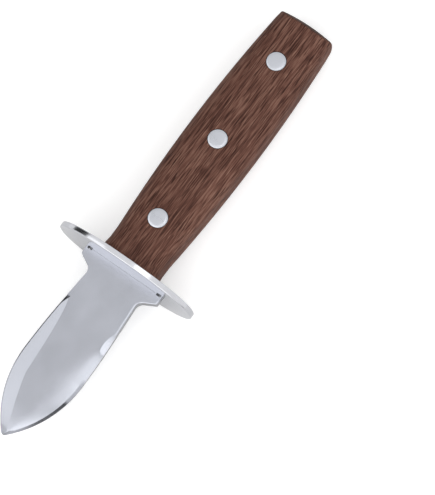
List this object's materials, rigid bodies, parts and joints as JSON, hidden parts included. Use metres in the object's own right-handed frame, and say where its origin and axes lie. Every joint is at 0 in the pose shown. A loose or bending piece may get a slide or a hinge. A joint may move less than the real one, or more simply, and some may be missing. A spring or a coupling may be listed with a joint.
{
  "type": "oyster knife",
  "caption": "Oyster knife with a short spear-shaped steel blade, an oval steel hand guard and a riveted wooden handle, for prying shells open.",
  "frame": {"origin": "middle of the knife's length, on its long axis and in the blade's middle plane, the centre of its box", "axes": "+X from the butt to the tip, +Y across the blade's width, +Z out of the blade's front face"},
  "size_m": [0.1666, 0.052, 0.0276],
  "materials": {
    "blade_steel": "satin ground stainless steel",
    "guard_steel": "polished stainless steel",
    "handle_wood": "oiled dark brown open-grained hardwood",
    "rivet_steel": "satin stainless steel"
  },
  "bodies": {
    "root": {"blade": "blade_steel", "guard": "guard_steel", "front_scale": "handle_wood", "back_scale": "handle_wood", "rivet_1_pin": "rivet_steel", "rivet_1_sleeve": "rivet_steel", "rivet_2_pin": "rivet_steel", "rivet_2_sleeve": "rivet_steel", "rivet_3_pin": "rivet_steel", "rivet_3_sleeve": "rivet_steel"}
  },
  "joints": []
}
